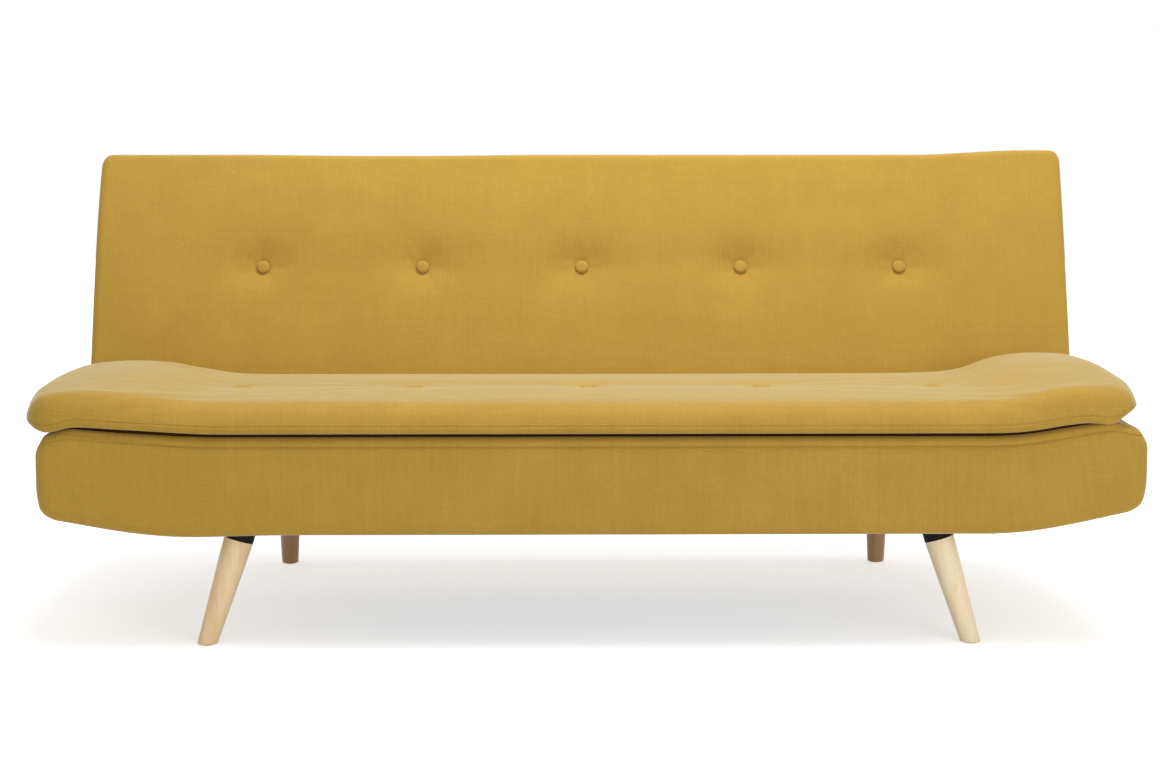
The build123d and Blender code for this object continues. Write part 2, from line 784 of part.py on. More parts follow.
def screw(length):
    """Round-headed screw: its head stands on the plane and its shank goes down from it."""
    Cylinder(screw_head_r, screw_head_t, align=(Align.CENTER, Align.CENTER, Align.MIN))
    Cylinder(screw_r, length, align=(Align.CENTER, Align.CENTER, Align.MAX))


with BuildPart() as hinge_bracket_screws:
    for sign in ends.values():
        with Locations(*[Vector(*point) + (0, 0, foot_t) for point in bracket_screw_points(sign)]):
            screw(foot_t + screw_length)
save(hinge_bracket_screws, "hinge_bracket_screws")

with BuildPart() as hinge_arm_screws:
    for plane in arm_screw_planes:
        with Locations(plane):
            screw(plate_t + screw_length)
save(hinge_arm_screws, "hinge_arm_screws")

with BuildPart() as pivot_pins:
    for sign in ends.values():
        with Locations(Plane(origin=(sign * hinge_plate_x, pivot_y, pivot_z), z_dir=(-sign, 0, 0))):
            Cylinder(pivot_head_r, pivot_head_t, align=(Align.CENTER, Align.CENTER, Align.MIN))
            Cylinder(pivot_r, stile_x - hinge_plate_x,
                     align=(Align.CENTER, Align.CENTER, Align.MAX))
save(pivot_pins, "pivot_pins")
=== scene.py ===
"""Looks of the armless sofa bed: soft seat, pad and back, sewing, buttons, wood and metal.

Metres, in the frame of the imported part. +Z is up and the front faces -Y.
"""

import json
from math import cos, pi, radians, sin

import bmesh
import bpy
import numpy as np
from mathutils import Matrix, Vector
from mathutils.bvhtree import BVHTree

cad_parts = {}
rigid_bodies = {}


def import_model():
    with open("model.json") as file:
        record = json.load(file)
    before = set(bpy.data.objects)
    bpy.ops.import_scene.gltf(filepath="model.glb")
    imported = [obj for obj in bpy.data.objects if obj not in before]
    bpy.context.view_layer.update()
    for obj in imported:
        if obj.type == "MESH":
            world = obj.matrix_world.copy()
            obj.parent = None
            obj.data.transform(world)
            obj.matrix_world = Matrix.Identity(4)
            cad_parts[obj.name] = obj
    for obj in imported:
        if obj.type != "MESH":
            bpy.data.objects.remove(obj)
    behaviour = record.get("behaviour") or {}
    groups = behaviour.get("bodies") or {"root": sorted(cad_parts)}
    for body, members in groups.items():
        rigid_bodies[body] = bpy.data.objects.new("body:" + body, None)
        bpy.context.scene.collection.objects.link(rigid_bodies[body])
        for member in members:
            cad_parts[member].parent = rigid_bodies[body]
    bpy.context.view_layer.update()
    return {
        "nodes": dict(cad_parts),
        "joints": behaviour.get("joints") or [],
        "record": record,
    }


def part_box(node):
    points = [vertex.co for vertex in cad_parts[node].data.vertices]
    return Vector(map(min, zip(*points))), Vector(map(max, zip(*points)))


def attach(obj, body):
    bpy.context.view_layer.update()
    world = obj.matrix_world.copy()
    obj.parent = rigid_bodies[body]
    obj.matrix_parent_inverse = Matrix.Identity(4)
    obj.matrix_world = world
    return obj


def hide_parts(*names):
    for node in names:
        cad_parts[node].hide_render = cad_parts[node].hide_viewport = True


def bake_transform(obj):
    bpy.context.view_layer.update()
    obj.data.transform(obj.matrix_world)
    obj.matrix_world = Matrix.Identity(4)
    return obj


for thing in list(bpy.data.objects):
    bpy.data.objects.remove(thing)

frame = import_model()
joints = {joint["name"]: joint for joint in frame["joints"]}

# ---------------------------------------------------------------- places, from the frame
base_low, base_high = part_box("base_cover")
pad_low, pad_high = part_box("seat_pad")
front, rear = base_low.y, base_high.y
seat_middle = (front + rear) / 2
base_bottom, base_top = base_low.z, base_high.z
seat_height = pad_high.z
fold_height = joints["left_end_tilt"]["pos_m"][2]
back_pivot = Vector(joints["back_recline"]["pos_m"])
half_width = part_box("back_cover")[1].x

back_lean = radians(17.5)
pivot_inset = 0.070
back_thickness = 0.125
back_tail = 0.025
back_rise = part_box("back_cover")[1].z - back_pivot.z
back_top = (back_rise - pivot_inset * sin(back_lean)) / cos(back_lean)
button_pitch = 0.296
button_columns = [button_pitch * k for k in (-2, -1, 0, 1, 2)]
back_button_height = 0.2510
seat_button_setback = 0.250

up_face = Vector((0, sin(back_lean), cos(back_lean)))
into_back = Vector((0, cos(back_lean), -sin(back_lean)))

# each end: where its bend starts and stops, and its rise
bends = {
    "left": {"start": 0.578, "stop": 0.718, "rise": radians(7.2)},
    "right": {"start": 0.620, "stop": 0.770, "rise": radians(11.2)},
}
# how far the straight forms reach, before they are bent
base_reach = {"left": 0.893, "right": 0.904}
pad_reach = {"left": 0.925, "right": 0.905}
skin_top = base_top - 0.004
# where the seat's skins are parted into left, middle and right panels
panel_edge = 0.444
skin_voxel = 0.0065
groove_half_width = 0.0022
base_groove, pad_groove = 0.0016, 0.0014
stitch_length, stitch_thickness, stitch_pitch = 0.0060, 0.0013, 0.0062


# ---------------------------------------------------------------- small helpers
def smooth_step(low, high, value):
    """0 at low, 1 at high and an eased rise between; low may be the larger."""
    t = np.clip((value - low) / (high - low), 0, 1)
    return t * t * (3 - 2 * t)


def bell(distance, spread):
    """1 at no distance, falling away over the spread."""
    return np.exp(-((distance / spread) ** 2))


def read_points(mesh):
    co = np.zeros(len(mesh.vertices) * 3)
    mesh.vertices.foreach_get("co", co)
    return co.reshape(-1, 3)


def write_points(mesh, co):
    mesh.vertices.foreach_set("co", np.asarray(co, np.float32).ravel())
    mesh.update()


def new_piece(name, bm, material, smooth=True):
    mesh = bpy.data.meshes.new(name)
    for face in bm.faces:
        face.smooth = smooth
    bm.to_mesh(mesh)
    bm.free()
    piece = bpy.data.objects.new(name, mesh)
    bpy.context.scene.collection.objects.link(piece)
    mesh.materials.append(material)
    return piece


def settle_modifiers(piece):
    """Make what the modifiers show the piece's own mesh."""
    bpy.context.view_layer.update()
    shown = piece.evaluated_get(bpy.context.evaluated_depsgraph_get())
    mesh = bpy.data.meshes.new_from_object(shown)
    materials = list(piece.data.materials)
    piece.modifiers.clear()
    piece.data = mesh
    mesh.materials.clear()
    for material in materials:
        mesh.materials.append(material)
    mesh.polygons.foreach_set("use_smooth", [True] * len(mesh.polygons))


def skin_over(piece, size, passes):
    """An even skin over a rough form, then relaxed."""
    skin = piece.modifiers.new("skin", "REMESH")
    skin.mode = "VOXEL"
    skin.voxel_size = size
    settle_modifiers(piece)
    bm = bmesh.new()
    bm.from_mesh(piece.data)
    for _ in range(passes):
        bmesh.ops.smooth_vert(
            bm, verts=bm.verts, factor=0.5, use_axis_x=True, use_axis_y=True, use_axis_z=True
        )
    bm.to_mesh(piece.data)
    bm.free()


def press_groove(piece, height, depth):
    """A seam's groove along the front and rear faces of a straight form of the seat."""
    bm = bmesh.new()
    bm.from_mesh(piece.data)
    for level in (height - groove_half_width, height, height + groove_half_width):
        bmesh.ops.bisect_plane(
            bm, geom=list(bm.verts) + list(bm.edges) + list(bm.faces),
            plane_co=(0, 0, level), plane_no=(0, 0, 1),
        )
    for vert in bm.verts:
        if abs(vert.co.z - height) < 1e-6:
            vert.co.y += depth if vert.co.y < seat_middle else -depth
    bm.to_mesh(piece.data)
    bm.free()


def stuff(piece, hold, cap, pressure, shares):
    """Blow a cover out from inside as its stuffing does.

    hold: how firmly each point is kept, 0 to 1. cap: the furthest that a point may move.
    shares: how much of the movement is kept along each axis.
    """
    frames = 20
    before = read_points(piece.data)
    group = piece.vertex_groups.new(name="held")
    for index in np.nonzero(hold > 0.02)[0]:
        group.add([int(index)], float(hold[index]), "REPLACE")
    cloth = piece.modifiers.new("stuffing", "CLOTH")
    settings = cloth.settings
    settings.quality = 5
    settings.mass = 0.3
    settings.tension_stiffness = settings.compression_stiffness = 40
    settings.shear_stiffness = 20
    settings.bending_stiffness = 6
    settings.use_pressure = True
    settings.uniform_pressure_force = pressure
    settings.effector_weights.gravity = 0
    settings.vertex_group_mass = "held"
    cloth.collision_settings.use_collision = False
    scene = bpy.context.scene
    scene.frame_start, scene.frame_end = 1, frames
    cloth.point_cache.frame_start, cloth.point_cache.frame_end = 1, frames
    for step in range(1, frames + 1):
        scene.frame_set(step)
    settle_modifiers(piece)
    scene.frame_set(1)
    moved = (read_points(piece.data) - before) * np.array(shares)
    length = np.maximum(np.linalg.norm(moved, axis=1, keepdims=True), 1e-9)
    write_points(piece.data, before + moved / length * cap * np.tanh(length / cap))
    piece.vertex_groups.clear()


def form_block(x, y, z):
    """A box between pairs of limits."""
    bm = bmesh.new()
    bmesh.ops.create_cube(bm, size=1)
    for vert in bm.verts:
        vert.co = Vector((
            (x[0] + x[1]) / 2 + vert.co.x * (x[1] - x[0]),
            (y[0] + y[1]) / 2 + vert.co.y * (y[1] - y[0]),
            (z[0] + z[1]) / 2 + vert.co.z * (z[1] - z[0]),
        ))
    return bm


def round_edges(bm, wanted, radius, segments=6):
    edges = [edge for edge in bm.edges if wanted(edge)]
    bmesh.ops.bevel(
        bm, geom=edges, offset=radius, offset_type="OFFSET", affect="EDGES",
        segments=segments, profile=0.5, material=-1, clamp_overlap=True,
    )


def edge_runs(edge, axis):
    """True if an edge lies along an axis."""
    way = edge.verts[1].co - edge.verts[0].co
    return abs(way[axis]) > 0.99 * way.length


def middle(edge):
    return (edge.verts[0].co + edge.verts[1].co) / 2


def keep_cloth_places(piece):
    """Remember each point's place on the flat cloth, which the weave follows."""
    places = piece.data.attributes.new("cloth", "FLOAT_VECTOR", "POINT")
    places.data.foreach_set("vector", read_points(piece.data).astype(np.float32).ravel())


def bend_ends(co, reach):
    """Raise both ends of a straight form about the folds, and stand their outer faces upright."""
    out = co.copy()
    for side, sign in (("left", -1), ("right", 1)):
        bend = bends[side]
        # a millimetre apart, from the middle to past the end
        steps = np.linspace(0, 1.1, 1101)
        angle = bend["rise"] * smooth_step(bend["start"], bend["stop"], steps)
        run = np.concatenate([[0], np.cumsum(np.cos(angle[:-1]) * np.diff(steps))])
        lift = np.concatenate([[0], np.cumsum(np.sin(angle[:-1]) * np.diff(steps))])
        mine = co[:, 0] * sign >= 0
        s = np.abs(co[mine, 0])
        v = co[mine, 2] - fold_height
        a = np.interp(s, steps, angle)
        upright = smooth_step(bend["stop"], reach[side], s)
        out[mine, 0] = sign * (np.interp(s, steps, run) - v * np.sin(a) * (1 - upright))
        out[mine, 2] = fold_height + np.interp(s, steps, lift) + v * np.cos(a)
    return out


def cut_panels(piece, name, reach):
    """Middle and end panels of a skin: the ends are bent up as the seat's ends are, in one fixed
    shape.
    """
    panels = []
    for part, low, high in (
        ("left", None, -panel_edge),
        ("middle", -panel_edge, panel_edge),
        ("right", panel_edge, None),
    ):
        bm = bmesh.new()
        bm.from_mesh(piece.data)
        for limit, way in ((low, -1), (high, 1)):
            if limit is None:
                continue
            cut = bmesh.ops.bisect_plane(
                bm, geom=list(bm.verts) + list(bm.edges) + list(bm.faces),
                plane_co=(limit, 0, 0), plane_no=(way, 0, 0), clear_outer=True,
            )
            rim = [item for item in cut["geom_cut"] if isinstance(item, bmesh.types.BMEdge)]
            closed = bmesh.ops.holes_fill(bm, edges=rim, sides=0)
            for face in closed["faces"]:
                face.smooth = False
            for edge in rim:
                edge.smooth = False
        mesh = bpy.data.meshes.new(f"{name}_{part}")
        bm.to_mesh(mesh)
        bm.free()
        for material in piece.data.materials:
            mesh.materials.append(material)
        write_points(mesh, bend_ends(read_points(mesh), reach))
        panel = bpy.data.objects.new(f"{name}_{part}", mesh)
        bpy.context.scene.collection.objects.link(panel)
        panels.append(panel)
    bpy.data.objects.remove(piece)
    follow_ends(panels)
    return panels


def follow_ends(panels):
    """The middle panel rides on the seat; the end panels are only baked in place and ride on
    nothing.
    """
    left, centre, right = panels
    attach(centre, "seat")
    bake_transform(left)
    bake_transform(right)


# ---------------------------------------------------------------- materials
class Nodes:
    """A material's node tree, built a node at a time."""

    def __init__(self, name):
        self.material = bpy.data.materials.new(name)
        self.material.use_nodes = True
        self.tree = self.material.node_tree
        self.shader = self.tree.nodes["Principled BSDF"]

    def add(self, kind, values=None, **settings):
        node = self.tree.nodes.new(kind)
        for key, value in settings.items():
            setattr(node, key, value)
        for key, value in (values or {}).items():
            if isinstance(value, bpy.types.NodeSocket):
                self.tree.links.new(value, node.inputs[key])
            else:
                node.inputs[key].default_value = value
        return node

    def finish(self, values):
        for key, value in values.items():
            if isinstance(value, bpy.types.NodeSocket):
                self.tree.links.new(value, self.shader.inputs[key])
            else:
                self.shader.inputs[key].default_value = value
        return self.material

    def stretched_noise(self, place, scale, detail=2.0, rough=0.5):
        spread = self.add("ShaderNodeMapping", {"Vector": place, "Scale": scale})
        noise = self.add(
            "ShaderNodeTexNoise",
            {"Vector": spread.outputs[0], "Scale": 1.0, "Detail": detail, "Roughness": rough},
        )
        return noise.outputs["Fac"]

    def maths(self, operation, a, b):
        node = self.add("ShaderNodeMath", operation=operation)
        for socket, value in ((node.inputs[0], a), (node.inputs[1], b)):
            if isinstance(value, bpy.types.NodeSocket):
                self.tree.links.new(value, socket)
            else:
                socket.default_value = value
        return node.outputs[0]

    def ramp(self, factor, stops):
        node = self.add("ShaderNodeValToRGB", {"Fac": factor})
        band = node.color_ramp
        while len(band.elements) < len(stops):
            band.elements.new(0.5)
        for element, (place, colour) in zip(band.elements, stops):
            element.position = place
            element.color = (*colour, 1)
        return node.outputs["Color"]

    def blend_colours(self, factor, a, b, kind="MIX"):
        node = self.add("ShaderNodeMix", data_type="RGBA", blend_type=kind)
        for index, value in ((0, factor), (6, a), (7, b)):
            if isinstance(value, bpy.types.NodeSocket):
                self.tree.links.new(value, node.inputs[index])
            elif index == 0:
                node.inputs[index].default_value = value
            else:
                node.inputs[index].default_value = (*value, 1)
        return node.outputs[2]


def woven_fabric(name, dark, light, place_from_cloth=True):
    """Plain weave of uneven yarns: upright slubs, finer weft, soft mottling and creases.

    The noises' scales are per metre along X, Y and Z.
    """
    n = Nodes(name)
    if place_from_cloth:
        place = n.add("ShaderNodeAttribute", attribute_name="cloth").outputs["Vector"]
    else:
        place = n.add("ShaderNodeTexCoord").outputs["Object"]
    warp = n.stretched_noise(place, (1150, 70, 70), 2.0)
    weft = n.stretched_noise(place, (70, 1150, 1150), 2.0)
    slub = n.stretched_noise(place, (330, 9, 9), 3.0, 0.6)
    bar = n.stretched_noise(place, (9, 420, 420), 2.0)
    mottle = n.stretched_noise(place, (11, 26, 11), 4.0, 0.6)
    weave = n.maths("ADD", n.maths("MULTIPLY", warp, 0.5), n.maths("MULTIPLY", weft, 0.5))
    colour = n.ramp(weave, [(0.30, dark), (0.70, light)])
    streak = n.ramp(slub, [(0.34, (0.965, 0.965, 0.96)), (0.68, (1.03, 1.03, 1.04))])
    colour = n.blend_colours(1.0, colour, streak, "MULTIPLY")
    bars = n.ramp(bar, [(0.35, (0.98, 0.98, 0.975)), (0.70, (1.015, 1.015, 1.02))])
    colour = n.blend_colours(1.0, colour, bars, "MULTIPLY")
    patches = n.ramp(mottle, [(0.30, (0.955, 0.950, 0.94)), (0.70, (1.035, 1.035, 1.045))])
    colour = n.blend_colours(1.0, colour, patches, "MULTIPLY")
    crease = n.stretched_noise(place, (24, 34, 24), 3.0, 0.55)
    creased = n.add("ShaderNodeBump", {"Height": crease, "Strength": 0.5, "Distance": 0.0022})
    relief = n.maths("ADD", weave, n.maths("MULTIPLY", slub, 0.35))
    bump = n.add("ShaderNodeBump", {
        "Height": relief, "Strength": 0.4, "Distance": 0.0005, "Normal": creased.outputs[0],
    })
    return n.finish({
        "Base Color": colour, "Roughness": 0.85, "Specular IOR Level": 0.2,
        "Sheen Weight": 0.64, "Sheen Roughness": 0.35, "Sheen Tint": (0.92, 0.99, 0.78, 1),
        "Normal": bump.outputs[0],
    })


def turned_wood(name, dark, light, along, roughness=0.45):
    """Grain along one axis, with fine pores and a satin varnish."""
    n = Nodes(name)
    place = n.add("ShaderNodeTexCoord").outputs["Object"]
    stretch = [60.0, 60.0, 60.0]
    stretch[along] = 5.0
    fine = [700.0, 700.0, 700.0]
    fine[along] = 22.0
    figure = n.stretched_noise(place, stretch, 4.0, 0.6)
    pores = n.stretched_noise(place, fine, 2.0)
    colour = n.ramp(figure, [(0.30, dark), (0.68, light)])
    speck = n.ramp(pores, [(0.30, (0.88, 0.86, 0.83)), (0.50, (1.0, 1.0, 1.0))])
    colour = n.blend_colours(0.8, colour, speck, "MULTIPLY")
    bump = n.add("ShaderNodeBump", {"Height": pores, "Strength": 0.2, "Distance": 0.0004})
    return n.finish({
        "Base Color": colour, "Roughness": roughness, "Specular IOR Level": 0.4,
        "Normal": bump.outputs[0],
    })


def worked_metal(name, colour, metallic, roughness):
    """Metal with fine handling marks."""
    n = Nodes(name)
    place = n.add("ShaderNodeTexCoord").outputs["Object"]
    marks = n.stretched_noise(place, (90, 90, 90), 4.0)
    shade = n.ramp(marks, [(0.3, tuple(0.85 * c for c in colour)), (0.7, colour)])
    bump = n.add("ShaderNodeBump", {"Height": marks, "Strength": 0.15, "Distance": 0.0003})
    return n.finish({
        "Base Color": shade, "Metallic": metallic, "Roughness": roughness,
        "Normal": bump.outputs[0],
    })


def moulded_plastic(name, colour, roughness):
    """Plain plastic or paint with a fine grain."""
    n = Nodes(name)
    place = n.add("ShaderNodeTexCoord").outputs["Object"]
    grain = n.stretched_noise(place, (1600, 1600, 1600), 2.0)
    shade = n.ramp(grain, [(0.3, tuple(0.8 * c for c in colour)), (0.7, colour)])
    bump = n.add("ShaderNodeBump", {"Height": grain, "Strength": 0.25, "Distance": 0.0002})
    return n.finish({
        "Base Color": shade, "Roughness": roughness, "Specular IOR Level": 0.12,
        "Normal": bump.outputs[0],
    })


def open_foam(name, colour):
    """Cut foam, with its cells open."""
    n = Nodes(name)
    place = n.add("ShaderNodeTexCoord").outputs["Object"]
    cells = n.add("ShaderNodeTexVoronoi", {"Vector": place, "Scale": 900.0}).outputs["Distance"]
    shade = n.ramp(cells, [(0.0, tuple(0.7 * c for c in colour)), (0.5, colour)])
    bump = n.add("ShaderNodeBump", {"Height": cells, "Strength": 0.5, "Distance": 0.0006})
    return n.finish({"Base Color": shade, "Roughness": 0.95, "Normal": bump.outputs[0]})


def felted_cloth(name, colour, shine=0.5):
    """Thin pressed lining with a quilted dimple."""
    n = Nodes(name)
    place = n.add("ShaderNodeTexCoord").outputs["Object"]
    fibres = n.stretched_noise(place, (420, 420, 420), 4.0, 0.7)
    dimple = n.add("ShaderNodeTexVoronoi", {"Vector": place, "Scale": 420.0}).outputs["Distance"]
    dark, light = tuple(0.6 * c for c in colour), tuple(1.4 * c for c in colour)
    shade = n.ramp(fibres, [(0.3, dark), (0.7, light)])
    height = n.maths("ADD", fibres, dimple)
    bump = n.add("ShaderNodeBump", {"Height": height, "Strength": 0.4, "Distance": 0.0005})
    return n.finish({
        "Base Color": shade, "Roughness": 0.95, "Specular IOR Level": shine,
        "Normal": bump.outputs[0],
    })


mustard = woven_fabric("mustard_weave", (0.412, 0.247, 0.035), (0.482, 0.298, 0.049))
thread = woven_fabric("mustard_thread", (0.46, 0.285, 0.045), (0.57, 0.37, 0.075), False)
leg_wood = turned_wood("pale_leg_wood", (0.87, 0.60, 0.31), (0.97, 0.745, 0.46), 2)
# a paler copy of the leg wood for the front right leg: painted light, that leg lit more brightly
# from the right
painted_light_leg_wood = turned_wood("painted_light_leg_wood", (0.98, 0.75, 0.44), (1.0, 0.88, 0.64), 2)
# a darker, browner copy of the leg wood for the rear legs: painted shade, the shadow under the
# seat
painted_shade_rear_leg_wood = turned_wood("shaded_leg_wood", (0.47, 0.28, 0.135), (0.60, 0.395, 0.21), 2)
rail_wood = turned_wood("rail_wood", (0.42, 0.27, 0.14), (0.60, 0.42, 0.24), 1, 0.7)
board_wood = turned_wood("board_wood", (0.45, 0.30, 0.16), (0.64, 0.46, 0.27), 0, 0.75)
fibreboard = turned_wood("fibreboard", (0.20, 0.12, 0.06), (0.28, 0.17, 0.09), 0, 0.8)
collar_black = moulded_plastic("collar_black", (0.008, 0.007, 0.006), 0.55)
glide_plastic = moulded_plastic("glide_plastic", (0.50, 0.40, 0.28), 0.5)
black_steel = worked_metal("black_steel", (0.022, 0.022, 0.024), 0.0, 0.4)
zinc_steel = worked_metal("zinc_steel", (0.56, 0.55, 0.52), 1.0, 0.35)
foam = open_foam("seat_foam", (0.80, 0.72, 0.50))
lining = felted_cloth("black_lining", (0.020, 0.020, 0.021))
# dark brown cloth with no shine for the sheet in the slot under the pad: painted shade
shade_tape_cloth = felted_cloth("painted_shade_tape", (0.048, 0.021, 0.004), 0.0)
webbing = woven_fabric("jute_webbing", (0.22, 0.17, 0.10), (0.36, 0.30, 0.20), False)
twine = woven_fabric("twine", (0.50, 0.44, 0.32), (0.74, 0.68, 0.54), False)

finishes = {
    "mustard_fabric": mustard, "leg_wood": leg_wood, "frame_wood": board_wood,
    "hardboard": fibreboard, "black_collar": collar_black, "glide_plastic": glide_plastic,
    "black_steel": black_steel, "zinc_steel": zinc_steel, "foam": foam, "dust_cloth": lining,
    "webbing": webbing, "twine": twine,
}
for entry in frame["record"]["subparts"]:
    node = frame["nodes"][entry["node"]]
    finish = finishes[entry["material_slot"]]
    if entry["node"].startswith("support_rail"):
        finish = rail_wood
    # the front right leg takes the paler copy of the leg wood: painted light
    if entry["node"] == "front_leg_right":
        finish = painted_light_leg_wood
    # the rear legs take the darker copy of the leg wood: painted shade
    if entry["node"].startswith("rear_leg"):
        finish = painted_shade_rear_leg_wood
    node.data.materials.clear()
    node.data.materials.append(finish)


# ---------------------------------------------------------------- sewing
def surface_of(piece):
    """The piece's surface, to cast rows of stitches onto."""
    bm = bmesh.new()
    bm.from_mesh(piece.data)
    tree = BVHTree.FromBMesh(bm)
    bm.free()
    return tree


def one_stitch(bm, place, along, out):
    """A short rounded thread, half sunk into the cloth."""
    side = out.cross(along).normalized()
    turn = Matrix((along, side, out)).transposed().to_4x4()
    turn.translation = place
    made = bmesh.ops.create_icosphere(bm, subdivisions=1, radius=0.5)
    squeeze = Matrix.Diagonal((stitch_length, stitch_thickness, stitch_thickness * 0.8, 1))
    bmesh.ops.transform(bm, matrix=turn @ squeeze, verts=made["verts"])


def panel_of(x):
    return "left" if x < -panel_edge else "right" if x >= panel_edge else "middle"


def stitch_row(panels, skin, start, count, cast):
    """Stitches along X from a start, cast onto the skin."""
    step = Vector((stitch_pitch, 0, 0))
    reach, lift = 0.2, 0.0001
    last = None
    for k in range(count):
        hit, normal, _, _ = skin.ray_cast(start + step * k, cast, reach)
        if hit is None:
            last = None
            continue
        if last is not None:
            along = (hit - last).normalized()
            out = (normal - along * normal.dot(along)).normalized()
            one_stitch(panels[panel_of(hit.x)], (hit + last) / 2 + out * lift, along, out)
        last = hit


def finish_stitches(panels, name, reach):
    """Bend the stitches as the cloth under them is bent."""
    rows = []
    for part, bm in panels.items():
        row = new_piece(f"{name}_{part}", bm, thread)
        write_points(row.data, bend_ends(read_points(row.data), reach))
        rows.append(row)
    follow_ends(rows)


def new_panels():
    return {part: bmesh.new() for part in ("left", "middle", "right")}


# ---------------------------------------------------------------- tufts
def tuft_drop(across, along, button_floor, hollow_depth):
    """How far a tied button pulls a cushion in: a narrow well in a wide, shallow hollow."""
    well_floor, well_rim = 0.0108, 0.0180
    hollow_spread, hollow_stretch = 0.047, 1.2
    pleat_depth, pleat_count, pleat_turn = 0.0006, 7, 0.6
    pleat_radius, pleat_spread = 0.028, 0.014
    far = np.hypot(across, along)
    turn = np.arctan2(along, across)
    well = (button_floor - hollow_depth) * (1 - smooth_step(well_floor, well_rim, far))
    hollow = hollow_depth * bell(np.hypot(across / hollow_stretch, along), hollow_spread)
    ridges = pleat_depth * np.cos(pleat_count * turn + pleat_turn)
    pleats = ridges * bell(far - pleat_radius, pleat_spread)
    return well + hollow + pleats


def covered_button(bm, place, out, across):
    """A domed button with its cloth turned under the rim."""
    profile = (
        (0.0, 0.0037), (0.0045, 0.0036), (0.0088, 0.0031), (0.0110, 0.0021),
        (0.0119, 0.0004), (0.0116, -0.0018), (0.0098, -0.0034), (0.0, -0.0040),
    )
    side = bmesh.new()
    verts = [side.verts.new((radius, 0, height)) for radius, height in profile]
    edges = [side.edges.new(pair) for pair in zip(verts, verts[1:])]
    bmesh.ops.spin(
        side, geom=verts + edges, cent=(0, 0, 0), axis=(0, 0, 1), angle=2 * pi, steps=32,
        use_merge=True,
    )
    bmesh.ops.remove_doubles(side, verts=side.verts, dist=1e-5)
    bmesh.ops.recalc_face_normals(side, faces=side.faces)
    turn = Matrix((across, out.cross(across), out)).transposed().to_4x4()
    turn.translation = place
    bmesh.ops.transform(side, matrix=turn, verts=side.verts)
    mesh = bpy.data.meshes.new("button")
    side.to_mesh(mesh)
    side.free()
    bm.from_mesh(mesh)
    bpy.data.meshes.remove(mesh)


# ---------------------------------------------------------------- seat base
# how far the right-hand rims of the base and the pad drop
base_edge_sag, pad_edge_sag = 0.018, 0.009


def end_sag(x, reach, right_edge_sag):
    """How far the stuffing gives way towards the ends of the seat."""
    to_end = reach - np.abs(x)
    long_sag = np.where(x < 0, 0.008, 0.003)
    edge_sag = np.where(x < 0, 0.013, right_edge_sag)
    return long_sag * smooth_step(0.26, 0.07, to_end) + edge_sag * smooth_step(0.065, 0.0, to_end)


def base_form():
    bm = form_block(
        (-base_reach["left"], base_reach["right"]), (front, rear), (base_bottom, skin_top)
    )
    corner_radius, top_radius, bottom_radius = 0.024, 0.016, 0.013
    top, bottom = skin_top - 1e-4, base_bottom + 1e-4
    round_edges(bm, lambda e: edge_runs(e, 2), corner_radius, 6)
    round_edges(bm, lambda e: middle(e).z > top and not edge_runs(e, 2), top_radius, 6)
    round_edges(bm, lambda e: middle(e).z < bottom and not edge_runs(e, 2), bottom_radius, 5)
    return new_piece("base", bm, mustard)


def settle_base(co):
    """The base's give, its corners, and the slight belly of its front and rear faces."""
    tall = (co[:, 2] - base_bottom) / (skin_top - base_bottom)
    reach = np.where(co[:, 0] < 0, base_reach["left"], base_reach["right"])
    outwards = np.sign(co[:, 0])
    to_end = reach - np.abs(co[:, 0])
    co[:, 2] -= end_sag(co[:, 0], reach, base_edge_sag) * smooth_step(0.25, 1.0, tall)
    # the top gives way round its rim, under the pad
    rim_drop = 0.0025
    to_face = np.minimum(co[:, 1] - front, rear - co[:, 1])
    co[:, 2] -= rim_drop * smooth_step(0.11, 0.05, to_face) * smooth_step(0.93, 1.0, tall)
    # the lower corners lift, and the underside hangs a little inside the left end
    corner_lift, left_hang, left_hang_place, left_hang_spread = 0.005, 0.0065, 0.728, 0.12
    co[:, 2] += corner_lift * smooth_step(0.035, 0.0, to_end) * smooth_step(0.3, 0.0, tall)
    hang = left_hang * bell(co[:, 0] + left_hang_place, left_hang_spread)
    co[:, 2] -= hang * smooth_step(0.8, 0.0, tall)
    # the end faces lean in towards their upper and lower edges
    upper_lean, lower_lean = 0.013, 0.004
    near_end = smooth_step(0.07, 0.0, to_end)
    co[:, 0] -= outwards * upper_lean * smooth_step(0.70, 1.0, tall) * near_end
    co[:, 0] -= outwards * lower_lean * smooth_step(0.30, 0.0, tall) * near_end
    # the front and rear faces belly out a little, and the seam pulls them in
    belly_depth, belly_top, ripple_depth = 0.0028, 0.86, 0.0006
    seam_pull, seam_spread = 0.0028, 0.0042
    facing = np.where(co[:, 1] < seat_middle, -1.0, 1.0)
    upright_skin = smooth_step(0.030, 0.012, np.minimum(co[:, 1] - front, rear - co[:, 1]))
    belly = belly_depth * np.sin(pi * np.clip(tall / belly_top, 0, 1))
    belly = belly - seam_pull * bell(co[:, 2] - seam_height, seam_spread)
    ripple = ripple_depth * np.sin(co[:, 0] * 41 + 1.3) * np.sin(co[:, 0] * 17)
    ripple = ripple * smooth_step(0.5, belly_top, tall)
    co[:, 1] += facing * upright_skin * (belly + ripple)
    return co


